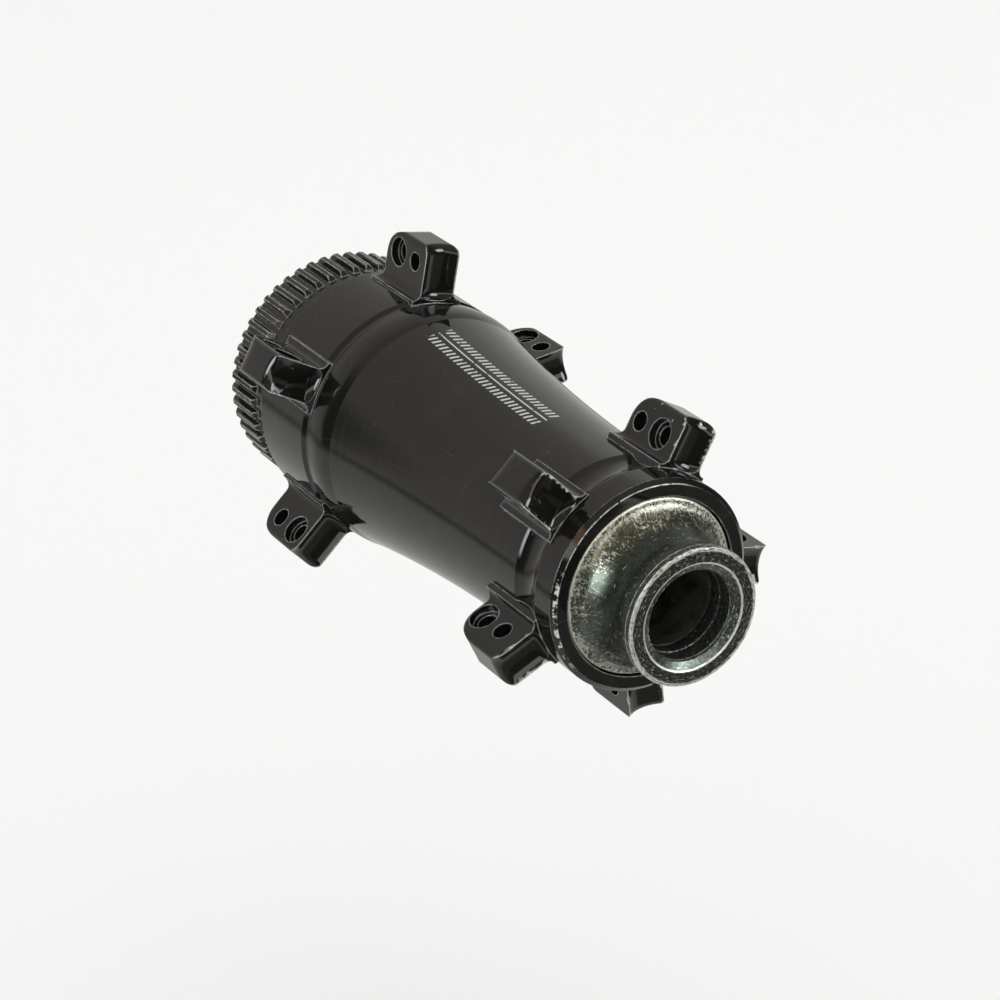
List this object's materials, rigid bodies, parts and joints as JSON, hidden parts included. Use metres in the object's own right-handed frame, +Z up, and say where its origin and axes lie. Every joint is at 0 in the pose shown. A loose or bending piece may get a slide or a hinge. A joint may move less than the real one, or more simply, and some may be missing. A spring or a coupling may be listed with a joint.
{
  "type": "bicycle front hub",
  "caption": "Front wheel hub for straight-pull spokes and a splined disc brake rotor, on a through axle, with sealed bearings and pull-off end caps.",
  "frame": {"origin": "middle of the hub on its axis, half-way between the two end faces that the fork clamps", "axes": "+Y along the axle from the plain side to the rotor side, +Z up, +X completes the right-handed frame"},
  "size_m": [0.0491, 0.1, 0.0495],
  "materials": {
    "shell_black": "black anodised and polished, with worn edges",
    "cap_metal": "dark anodised, scratched and worn through to bare metal",
    "axle_metal": "turned, satin",
    "bearing_steel": "ground",
    "ball_steel": "polished",
    "cage_brass": "satin",
    "seal_rubber": "smooth, dark red",
    "ring_rubber": "smooth, black"
  },
  "bodies": {
    "axle_set": {"axle_tube": "axle_metal", "inner_race_plain_side": "bearing_steel", "inner_race_rotor_side": "bearing_steel"},
    "hub": {"hub_shell": "shell_black", "outer_race_plain_side": "bearing_steel", "outboard_seal_plain_side": "seal_rubber", "inboard_seal_plain_side": "seal_rubber", "outer_race_rotor_side": "bearing_steel", "outboard_seal_rotor_side": "seal_rubber", "inboard_seal_rotor_side": "seal_rubber"},
    "balls_plain": {"balls_plain_side": "ball_steel", "cage_plain_side": "cage_brass"},
    "balls_rotor": {"balls_rotor_side": "ball_steel", "cage_rotor_side": "cage_brass"},
    "cap_plain": {"end_cap_plain_side": "cap_metal", "o_ring_plain_side": "ring_rubber", "dust_seal_plain_side": "ring_rubber"},
    "cap_rotor": {"end_cap_rotor_side": "cap_metal", "o_ring_rotor_side": "ring_rubber", "dust_seal_rotor_side": "ring_rubber"}
  },
  "joints": [
    {"name": "hub_spin", "type": "hinge", "parent": "axle_set", "child": "hub", "pos_m": [0, 0, 0], "axis": [0, 1, 0], "continuous": true},
    {"name": "balls_plain_spin", "type": "hinge", "parent": "axle_set", "child": "balls_plain", "pos_m": [0, -0.036, 0], "axis": [0, 1, 0], "continuous": true},
    {"name": "balls_rotor_spin", "type": "hinge", "parent": "axle_set", "child": "balls_rotor", "pos_m": [0, 0.033, 0], "axis": [0, 1, 0], "continuous": true},
    {"name": "cap_plain_pull", "type": "slide", "parent": "axle_set", "child": "cap_plain", "axis": [0, -1, 0], "range_m": [0, 0.012]},
    {"name": "cap_rotor_pull", "type": "slide", "parent": "axle_set", "child": "cap_rotor", "axis": [0, 1, 0], "range_m": [0, 0.012]}
  ],
  "couplings": [
    {"joint": "balls_plain_spin", "follows": "hub_spin", "ratio": 0.56103},
    {"joint": "balls_rotor_spin", "follows": "hub_spin", "ratio": 0.56103}
  ]
}
